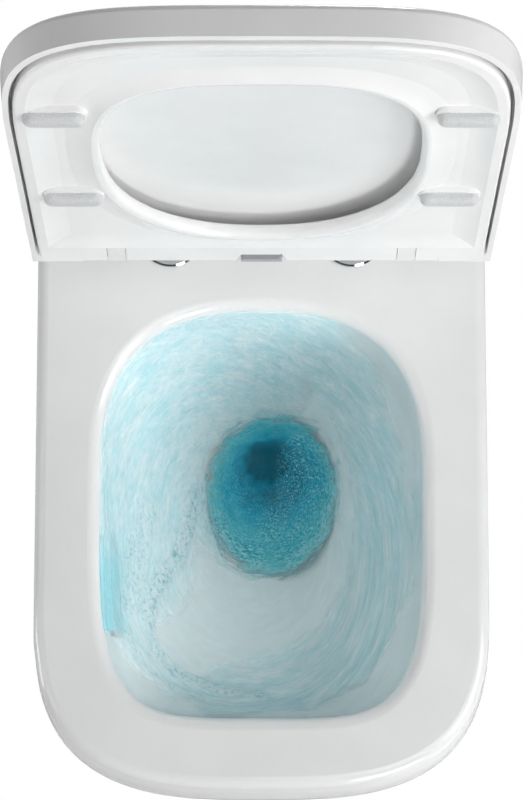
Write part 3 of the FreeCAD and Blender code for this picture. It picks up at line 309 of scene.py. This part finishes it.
def water_pool():
    """The whirling pool: deep teal over the drain, flecked with froth, pale at its soft edge."""
    material, tree, shader = new_material("flush_water_whirling_pool")
    swirl = add_node(tree, "ShaderNodeAttribute", attribute_name="swirl").outputs["Vector"]
    deep = add_node(tree, "ShaderNodeAttribute", attribute_name="deep").outputs["Fac"]
    froth = add_node(tree, "ShaderNodeAttribute", attribute_name="froth").outputs["Fac"]
    wet = add_node(tree, "ShaderNodeAttribute", attribute_name="wet").outputs["Fac"]
    # Noise units are 9 mm across the swirl, so clouds are about 8 mm wide and flecks 1 mm
    cloud = add_node(tree, "ShaderNodeTexNoise", {"Vector": swirl, "Scale": 1.2, "Detail": 5.0,
                                                  "Roughness": 0.6, "Distortion": 1.0})
    ripple = add_node(tree, "ShaderNodeTexNoise", {"Vector": swirl, "Scale": 9.0, "Detail": 2.0,
                                                   "Roughness": 0.6, "Distortion": 0.5})
    shift = add_node(tree, "ShaderNodeMath", {0: cloud.outputs["Fac"], 1: 0.4, 2: deep},
                     operation="MULTIPLY_ADD")
    level = add_node(tree, "ShaderNodeMath", {0: shift.outputs[0], 1: 0.2}, operation="SUBTRACT")
    tint = add_node(tree, "ShaderNodeValToRGB", {"Fac": level.outputs[0]})
    ramp = tint.color_ramp
    ramp.elements[0].color = colour("#9fe0e6")
    ramp.elements[1].color = colour("#04667b")
    for position, code in ((0.3, "#5cc4d0"), (0.5, "#30adc8"), (0.67, "#118ba8")):
        ramp.elements.new(position).color = colour(code)
    fleck_dark = add_node(tree, "ShaderNodeMapRange", {"Value": ripple.outputs["Fac"],
                                                       "From Min": 0.47, "From Max": 0.38})
    dark_part = add_node(tree, "ShaderNodeMath", {0: froth, 1: fleck_dark.outputs["Result"]},
                         operation="MULTIPLY")
    shaded = add_node(tree, "ShaderNodeMix", {"Factor": dark_part.outputs[0],
                                              "A": tint.outputs["Color"],
                                              "B": colour("#0b7b92")}, data_type="RGBA")
    fleck_pale = add_node(tree, "ShaderNodeMapRange", {"Value": ripple.outputs["Fac"],
                                                       "From Min": 0.54, "From Max": 0.64})
    pale_part = add_node(tree, "ShaderNodeMath", {0: froth, 1: fleck_pale.outputs["Result"]},
                         operation="MULTIPLY")
    skin = add_node(tree, "ShaderNodeMix", {"Factor": pale_part.outputs[0],
                                            "A": shaded.outputs["Result"],
                                            "B": colour("#b4ecf3")}, data_type="RGBA")
    tree.links.new(skin.outputs["Result"], shader.inputs["Base Color"])
    tree.links.new(wet, shader.inputs["Alpha"])
    relief = add_node(tree, "ShaderNodeMath", {0: cloud.outputs["Fac"],
                                               1: ripple.outputs["Fac"]}, operation="ADD")
    bump = add_node(tree, "ShaderNodeBump", {"Height": relief.outputs[0], "Strength": 0.4,
                                             "Distance": 3 * MM})
    tree.links.new(bump.outputs["Normal"], shader.inputs["Normal"])
    set_values(shader, Roughness=0.06, IOR=1.33)
    return material


def paint(names, material):
    """Gives these CAD nodes one material."""
    for name in names:
        nodes[name].data.materials.clear()
        nodes[name].data.materials.append(material)


def dress_nodes():
    """Every CAD node in its material. Plastics and metals end with roughness and grain in mm."""
    paint(["ceramic_pan"], glazed_ceramic())
    paint(["seat_ring", "lid"],
          moulded_plastic("thermoset_white_gloss", "#f6f6f6", "#fafafa", 0.16, 4))
    paint(["hinge_housing", "hinge_cover", "seat_hinge_insert_left", "seat_hinge_insert_right",
           "cover_cap_left", "cover_cap_right"],
          moulded_plastic("abs_white_satin", "#ececec", "#f2f2f2", 0.3, 2))
    paint(["release_button"],
          moulded_plastic("abs_grey_satin", "#a3a5a6", "#adafb0", 0.35, 1.5))
    paint(["seat_damper", "lid_damper", "shaft_sleeves", "lid_bush", "fixing_sleeves"],
          moulded_plastic("nylon_grey", "#63676a", "#6f7376", 0.4, 1.5))
    paint(["seat_buffers_front", "seat_buffers_rear", "expansion_bushes"],
          moulded_rubber("buffer_rubber_grey", "#cdcfd0", "#dadcdd"))
    paint(["lid_buffers", "rosette_gaskets"],
          moulded_rubber("gasket_rubber_pale", "#d3d4d4", "#dfe0e0"))
    paint(["hinge_rosette_left", "hinge_rosette_right"],
          plated_metal("brass_polished_chrome", "#c9cbcd", "#d6d8da", 0.08, 6))
    paint(["hinge_post_left", "hinge_post_right", "mounting_bolts", "expansion_nuts",
           "fixing_screws", "latch_left", "latch_right", "seat_shaft", "lid_shaft"],
          plated_metal("steel_zinc_plated", "#a9adb0", "#bfc3c6", 0.32, 0.8))
    paint(["button_spring"],
          plated_metal("spring_wire_drawn", "#8c8f91", "#a2a5a7", 0.28, 0.4))


# Water

def smooth_step(low, high, value):
    """0 up to low, 1 from high on, and a smooth rise between them."""
    share = min(max((value - low) / (high - low), 0.0), 1.0)
    return share * share * (3 - 2 * share)


def route_distance(place, route):
    """Distance in millimetres from a place, seen from above, to a route of straight runs."""
    best = math.inf
    for start, end in zip(route, route[1:]):
        run = Vector(end) - Vector(start)
        share = max(0.0, min(1.0, (place - Vector(start)).dot(run) / run.length_squared))
        best = min(best, (place - Vector(start) - run * share).length)
    return best


# Routes of the water, seen from above, each with its half width in millimetres and its strength
SHEETS = [
    ([(-118, -345), (-118, -300), (-112, -235), (-85, -180), (-40, -152), (10, -146)], 56, 1.0),
    ([(-20, -146), (40, -154), (80, -190), (100, -250), (108, -330)], 22, 0.95),
    ([(108, -310), (102, -365), (74, -412), (28, -444), (-30, -458)], 30, 0.8),
    ([(-116, -402), (-104, -424), (-72, -450), (-20, -463), (40, -461), (80, -440), (102, -402),
      (110, -350)], 13, 1.0),
    ([(-114, -392), (-110, -352), (-94, -320), (-72, -290)], 17, 1.0),
]
FROTH_LINES = [
    ([(-99, -393), (-97, -375), (-87, -352), (-75, -334), (-66, -305), (-62, -272)], 10, 1.0),
    ([(-99, -393), (-93, -418), (-76, -438), (-42, -453), (0, -462)], 6, 0.9),
    ([(-115, -408), (-104, -434), (-86, -450), (-52, -463)], 4, 0.7),
    ([(-112, -385), (-110, -340), (-100, -290)], 14, 0.6),
    ([(-60, -284), (-50, -306), (-34, -326), (-8, -340)], 13, 0.7),
    ([(-72, -262), (-60, -230), (-40, -212)], 10, 0.5),
]
POOL_FROTH = [
    ([(30, -232), (26, -262), (8, -304)], 12, 1.0),
    ([(48, -236), (52, -290), (30, -322)], 18, 0.6),
    ([(-44, -300), (-36, -318), (-10, -328)], 14, 1.0),
]
# A route acts in full up to this share of its half width
ROUTE_CORE = 0.4


def strength_of(place, routes, wide):
    """How strongly the strongest route acts here. A route ends this many half widths away."""
    best = 0.0
    for route, half_width, strength in routes:
        near = route_distance(place, route)
        fade = smooth_step(half_width * ROUTE_CORE, half_width * wide, near)
        best = max(best, strength * (1 - fade))
    return best


def swirl_place(place, level):
    """Noise coordinates along the swirl: long round the bowl, short across it, closed all round."""
    spoke = place - Vector(POOL_CENTRE)
    reach = math.hypot(spoke.x, spoke.y * BOWL_OVAL)
    angle = math.atan2(spoke.y * BOWL_OVAL, spoke.x)
    inward = DRIFT * math.sin(angle - DRIFT_FROM)
    angle += reach * BOWL_TWIST
    return (BOWL_ROUND * math.cos(angle), BOWL_ROUND * math.sin(angle),
            reach / SWIRL_UNIT + level / SWIRL_FALL - inward)


def bowl_section(level):
    """Half width, rear, front and the two roundnesses of the bowl at one level."""
    for upper, lower in zip(BOWL, BOWL[1:]):
        if level >= lower[0]:
            break
    share = min(max((upper[0] - level) / (upper[0] - lower[0]), 0.0), 1.0)
    return [high + share * (low - high) for high, low in zip(upper[1:], lower[1:])]


def bowl_place(angle, level):
    """A point of the bowl's wall in millimetres. The angle counts from the right by the rear."""
    half, rear, front, rear_round, front_round = bowl_section(level)
    middle = rear + BOWL_WIDEST * (front - rear)
    across = math.cos(angle)
    along = math.sin(angle)
    if along >= 0:
        length, power = rear - middle, 2 / rear_round
    else:
        length, power = middle - front, 2 / front_round
    return Vector((half * math.copysign(abs(across) ** power, across),
                   middle + length * math.copysign(abs(along) ** power, along), level))


def over_slot(spot):
    """True over the flush slot, where the film has no wall to lie on."""
    return (spot.x < SLOT_SIDE * MM and SLOT_ENDS[0] * MM < spot.y < SLOT_ENDS[1] * MM
            and SLOT_LEVELS[0] * MM < spot.z < SLOT_LEVELS[1] * MM)


def pool_share(place):
    """How far out a place is from the pool's centre: 1 on the pool's outline."""
    spoke = place - Vector(POOL_CENTRE)
    return math.hypot(spoke.x / POOL_HALF_WIDTH, spoke.y / POOL_HALF_LENGTH)


def give_attributes(piece, swirl, **shares):
    """Stores the swirl's coordinates and each named share for every vertex."""
    for name, numbers in shares.items():
        attribute = piece.data.attributes.new(name, "FLOAT", "POINT")
        attribute.data.foreach_set("value", numbers)
    attribute = piece.data.attributes.new("swirl", "FLOAT_VECTOR", "POINT")
    attribute.data.foreach_set("vector", [part for vector in swirl for part in vector])


def start_piece(name):
    """The newly added primitive, named."""
    piece = bpy.context.object
    piece.name = name
    piece.data.name = name
    return piece


def select_only(piece):
    """Makes the piece the one that the next operator acts on."""
    bpy.ops.object.select_all(action="DESELECT")
    piece.select_set(True)
    bpy.context.view_layer.objects.active = piece


def settle(piece):
    """Puts the piece's place and size into its mesh."""
    select_only(piece)
    bpy.ops.object.transform_apply(location=True, rotation=True, scale=True)


def apply_modifier(piece, kind, **settings):
    """Adds a modifier with these settings and applies it."""
    modifier = piece.modifiers.new(kind, kind)
    for name, value in settings.items():
        setattr(modifier, name, value)
    select_only(piece)
    bpy.ops.object.modifier_apply(modifier=modifier.name)


def finish_water(piece, material):
    """Smooth and clear water that lets the lamps through and stays with the pan."""
    bpy.ops.object.shade_smooth()
    piece.data.materials.append(material)
    piece.visible_shadow = False
    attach(piece, "pan")


def make_water_sheet():
    """Film of water on the bowl's wall: a grid rolled up, drawn on to the glaze and thickened."""
    bpy.ops.object.select_all(action="DESELECT")
    bpy.ops.mesh.primitive_grid_add(x_subdivisions=FILM_GRID[0], y_subdivisions=FILM_GRID[1],
                                    size=2)
    piece = start_piece("water_sheet")
    rolled = []
    for vertex in piece.data.vertices:
        level = FILM_TOP + (1 - vertex.co.y) / 2 * (FILM_BOTTOM - FILM_TOP)
        spot = bowl_place(math.pi * (vertex.co.x + 1), level)
        middle = Vector((0, spot.y * (1 - FILM_AIM) + WAVE_AIM[1] * FILM_AIM, level))
        vertex.co = (spot + (middle - spot).normalized() * FILM_START) * MM
        rolled.append(vertex.co.copy())
    apply_modifier(piece, "SHRINKWRAP", target=nodes["ceramic_pan"],
                   wrap_method="NEAREST_SURFACEPOINT", wrap_mode="ABOVE_SURFACE",
                   offset=FILM_OFFSET * MM)
    # Over the flush slot the water stands level with the wall round it
    for vertex, before in zip(piece.data.vertices, rolled):
        if over_slot(before) and (vertex.co - before).length > SLOT_MOVE * MM:
            vertex.co = before

    wet, froth, deep, swirl = [], [], [], []
    for vertex in piece.data.vertices:
        place = Vector((vertex.co.x, vertex.co.y)) / MM
        level = vertex.co.z / MM
        foam = strength_of(place, FROTH_LINES, wide=1.0)
        cover = max(FILM_LEAST_COVER, strength_of(place, SHEETS, wide=1.45), foam)
        cover *= 1 - smooth_step(*FILM_FADE, level)
        # The jet is deepest in front of the slot and thins out along the wall
        jet = smooth_step(*JET_FRONT, place.y) * (1 - smooth_step(*JET_REAR, place.y))
        jet *= 1 - smooth_step(*JET_SIDE, place.x)
        under_pool = 1 - smooth_step(*UNDER_POOL, pool_share(place))
        spot = Vector(swirl_place(place, level))
        crest = noise.noise(spot) + 0.5 * noise.noise(spot * 2.7)
        bubbles = noise.noise(spot * 4.1)
        lift = cover * (WAVE_MEAN + WAVE_SWING * crest)
        lift += foam * (FROTH_MEAN + FROTH_SWING * bubbles)
        inward = (Vector(WAVE_AIM) * MM - vertex.co).normalized()
        vertex.co += inward * max(lift, 0.0) * MM
        wet.append(cover)
        froth.append(foam * cover)
        deep.append(max(0.85 * jet, 0.4 * under_pool))
        swirl.append(spot)
    give_attributes(piece, swirl, wet=wet, froth=froth, deep=deep)
    bpy.ops.object.mode_set(mode="EDIT")
    bpy.ops.mesh.select_all(action="SELECT")
    bpy.ops.mesh.remove_doubles(threshold=FILM_MERGE * MM)
    bpy.ops.mesh.normals_make_consistent(inside=True)
    bpy.ops.object.mode_set(mode="OBJECT")
    apply_modifier(piece, "SOLIDIFY", thickness=FILM_THICKNESS * MM, offset=-1)
    finish_water(piece, water_sheet())


def bowl_depth(place):
    """Level of the glaze straight below a place, or far down where there is none."""
    pan = nodes["ceramic_pan"]
    to_pan = pan.matrix_world.inverted()
    start = to_pan @ Vector((place.x * MM, place.y * MM, FILM_TOP * MM))
    hit, spot, _, _ = pan.ray_cast(start, to_pan.to_3x3() @ Vector((0, 0, -1)))
    return (pan.matrix_world @ spot).z / MM if hit else 2 * FILM_BOTTOM


def make_water_pool():
    """Water over the drain: a flat lens, its top drawn into a whirl, its edge on the glaze."""
    bpy.ops.object.select_all(action="DESELECT")
    centre = (POOL_CENTRE[0] * MM, POOL_CENTRE[1] * MM, POOL_LEVEL * MM)
    bpy.ops.mesh.primitive_uv_sphere_add(segments=200, ring_count=120, radius=1, location=centre)
    piece = start_piece("water_pool")
    piece.scale = (POOL_HALF_WIDTH * POOL_FRINGE * MM, POOL_HALF_LENGTH * POOL_FRINGE * MM,
                   POOL_HALF_DEPTH * MM)
    settle(piece)
    froth, deep, wet, swirl = [], [], [], []
    for vertex in piece.data.vertices:
        place = Vector((vertex.co.x, vertex.co.y)) / MM
        spoke = place - Vector(POOL_CENTRE)
        edge = pool_share(place)
        angle = math.atan2(spoke.y, spoke.x) + spoke.length * POOL_TWIST
        spot = Vector((POOL_ROUND * math.cos(angle), POOL_ROUND * math.sin(angle),
                       spoke.length / SWIRL_UNIT))
        to_eye = (place - Vector(VORTEX_EYE)).length
        blot = to_eye + EYE_RAGGED * noise.noise(place.to_3d() / EYE_LOBE)
        top = vertex.co.z / MM >= POOL_LEVEL
        level = POOL_LEVEL + POOL_TILT * spoke.x
        if top:
            waves = noise.noise(spot * 1.3) + 0.6 * noise.noise(spot * 3.3)
            dip = EYE_DIP * (1 - smooth_step(0, EYE_REACH, to_eye))
            level += (POOL_WAVES * waves - dip) * (1 - smooth_step(*CALM, edge))
        else:
            level += vertex.co.z / MM - POOL_LEVEL
        gap = POOL_TOP_GAP if top else POOL_BASE_GAP
        vertex.co.z = max(level, bowl_depth(place) + gap) * MM
        torn = edge + 0.1 * noise.noise(spot * 2.2) + 0.06 * noise.noise(spot * 5.5)
        # Palest at the edge, most of all to the front, and darkest in the eye
        shallow = smooth_step(*SHALLOWS, torn)
        shallow *= 0.4 - 0.2 * smooth_step(*SHALLOWS_TURN, spoke.y)
        outwards = smooth_step(*HEART_FADE, (place - Vector(POOL_HEART)).length)
        eye = 1 - smooth_step(*EYE_EDGE, blot)
        deep.append(0.7 - 0.36 * outwards + 0.32 * eye - shallow)
        flecks = strength_of(place, POOL_FROTH, wide=1.6)
        froth.append(0.25 * smooth_step(*FLECK_START, blot) + 0.55 * flecks)
        wet.append(1 - smooth_step(*POOL_END, torn) if top else 0.0)
        swirl.append(spot)
    give_attributes(piece, swirl, froth=froth, deep=deep, wet=wet)
    finish_water(piece, water_pool())


def press_spring():
    """The spring behind the release button gets its own copy of its mesh."""
    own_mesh(nodes["button_spring"])


# Studio

def make_floor():
    """Pale floor, a usual pan's height below the rim, white to the camera."""
    bpy.ops.object.select_all(action="DESELECT")
    bpy.ops.mesh.primitive_plane_add(size=12,
                                     location=(0, 0, (RIM_LEVEL - RIM_ABOVE_FLOOR) * MM))
    floor = start_piece("studio_floor")
    material = bpy.data.materials.new("pale_floor_paint")
    material.use_nodes = True
    tree = material.node_tree
    tree.nodes.clear()
    seen = add_node(tree, "ShaderNodeLightPath").outputs["Is Camera Ray"]
    paint_layer = add_node(tree, "ShaderNodeBsdfDiffuse", {"Color": colour("#e2e2e2")})
    glow = add_node(tree, "ShaderNodeEmission", {"Color": (1, 1, 1, 1), "Strength": 1.0})
    both = add_node(tree, "ShaderNodeMixShader", {0: seen, 1: paint_layer.outputs[0],
                                                  2: glow.outputs[0]})
    add_node(tree, "ShaderNodeOutputMaterial", {"Surface": both.outputs[0]})
    floor.data.materials.append(material)


def make_world():
    """Soft even room light, and white where the camera sees it."""
    world = bpy.data.worlds.new("studio_room")
    bpy.context.scene.world = world
    world.use_nodes = True
    tree = world.node_tree
    tree.nodes.clear()
    room = add_node(tree, "ShaderNodeBackground", {"Color": (1, 1, 1, 1), "Strength": 0.1})
    white = add_node(tree, "ShaderNodeBackground", {"Color": (1, 1, 1, 1), "Strength": 1.0})
    seen = add_node(tree, "ShaderNodeLightPath").outputs["Is Camera Ray"]
    both = add_node(tree, "ShaderNodeMixShader", {0: seen, 1: room.outputs[0],
                                                  2: white.outputs[0]})
    add_node(tree, "ShaderNodeOutputWorld", {"Surface": both.outputs[0]})


def add_softbox(name, place, target, width, watts, spread=180):
    """A square area lamp that faces its target, with a grid if its spread is narrow."""
    lamp = bpy.data.lights.new(name, "AREA")
    lamp.size = width
    lamp.energy = watts
    lamp.spread = math.radians(spread)
    holder = bpy.data.objects.new(name, lamp)
    holder.location = place
    holder.rotation_euler = (Vector(target) - Vector(place)).to_track_quat("-Z", "Y").to_euler()
    bpy.context.scene.collection.objects.link(holder)


def make_camera():
    """The photograph's view: from above and a little in front, through a long lens."""
    lens = bpy.data.cameras.new("photo_view")
    lens.sensor_width = 36
    lens.lens = 137.25
    holder = bpy.data.objects.new("photo_view", lens)
    holder.location = (0, -0.6750, 2.6294)
    holder.rotation_euler = (math.radians(10.2), 0, 0)
    bpy.context.scene.collection.objects.link(holder)
    bpy.context.scene.camera = holder


make_camera()
make_world()
make_floor()
# Lamps: name, place, target, width in metres, watts, and degrees of spread where it has a grid
add_softbox("right_softbox", (1.5, -0.85, 1.25), (0, -0.25, 0.1), 1.2, 20.5)
add_softbox("left_softbox", (-1.7, -0.5, 1.0), (0, -0.25, 0.1), 1.2, 7)
add_softbox("front_softbox", (1.0, -2.85, 0.8), (0, -0.1, 0.4), 1.0, 2.5, 45)
add_softbox("back_softbox", (0.3, 2.2, -0.05), (0, 0, 0.1), 0.5, 24)
add_softbox("left_low_softbox", (-2.0, -0.5, 0.0), (0, -0.25, 0.05), 0.6, 7)
add_softbox("top_softbox", (0.9, -1.2, 3.1), (0, -0.3, 0), 1.6, 16)
dress_nodes()
make_water_sheet()
make_water_pool()
press_spring()
bpy.context.scene.view_settings.view_transform = "Standard"
# Light that bounces round the bowl passes the clear water many times
bpy.context.scene.cycles.transparent_max_bounces = 48
